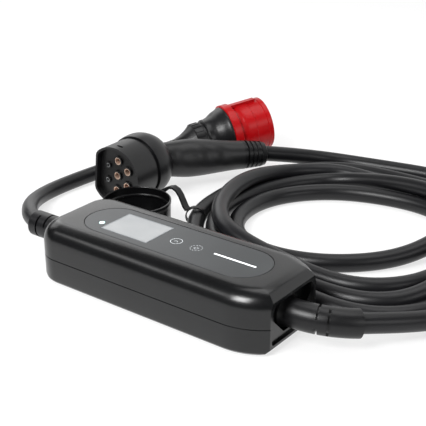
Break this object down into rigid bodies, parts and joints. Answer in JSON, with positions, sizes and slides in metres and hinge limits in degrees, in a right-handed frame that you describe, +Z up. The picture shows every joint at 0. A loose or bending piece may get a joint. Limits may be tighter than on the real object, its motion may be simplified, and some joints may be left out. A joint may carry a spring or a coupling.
{
  "type": "portable electric vehicle charger",
  "caption": "Portable vehicle charger: in-cable control box with display, coiled vehicle cord with connector and dust cap, and a short cord with a red industrial mains plug.",
  "frame": {"origin": "middle of the control box's underside, on the surface it lies on", "axes": "+X along the control box toward its vehicle-cord end, +Y from the box toward the coil, +Z up"},
  "size_m": [0.4708, 0.4204, 0.0686],
  "materials": {
    "housing": "black polycarbonate shell with a fine satin grain",
    "gasket": "black silicone sealing ring",
    "steel": "zinc-plated screws",
    "panel": "dark grey satin film over a plastic panel",
    "window": "pale grey display window",
    "lens": "milky light guide",
    "board": "green circuit board",
    "board_parts": "moulded electrical components",
    "copper": "copper conductors",
    "boot_rubber": "moulded black rubber strain reliefs",
    "cord_sheath": "black rubber-like cord sheath",
    "black_plastic": "black glass-filled nylon",
    "insulator": "black contact insulator",
    "red_plastic": "glossy red plug shroud",
    "pin_metal": "nickel-plated brass pins",
    "contact_metal": "plated copper-alloy contacts",
    "grip_plastic": "soft-touch black grip",
    "cap_rubber": "black rubber cap and strap"
  },
  "bodies": {
    "root": {"lower_shell": "housing", "upper_shell": "housing", "shell_gasket": "gasket", "housing_screws": "steel", "front_panel": "panel", "display_window": "window", "display_module": "board_parts", "light_line": "lens", "status_lens": "lens", "circuit_board": "board", "board_screws": "steel", "relays": "board_parts", "current_sensor": "board_parts", "power_supply_block": "board_parts", "terminal_blocks": "board_parts", "capacitors": "board_parts", "supply_leads": "copper", "charge_leads": "copper", "supply_boot": "boot_rubber", "charge_boot": "boot_rubber", "supply_cord": "cord_sheath", "charge_cord_lead": "cord_sheath", "charge_cord_coil": "cord_sheath", "handle_cord_lead": "cord_sheath", "plug_rear_cone": "boot_rubber", "plug_gland_nut": "black_plastic", "plug_body": "black_plastic", "plug_shroud": "red_plastic", "plug_pin_carrier": "black_plastic", "plug_line_pins": "pin_metal", "plug_earth_pin": "pin_metal", "connector_shroud": "black_plastic", "connector_insert": "insulator", "power_contacts": "contact_metal", "signal_contacts": "contact_metal", "connector_collar": "black_plastic", "handle_grip": "grip_plastic", "handle_end_boot": "boot_rubber", "dust_cap": "cap_rubber", "cap_strap": "cap_rubber"}
  },
  "joints": []
}
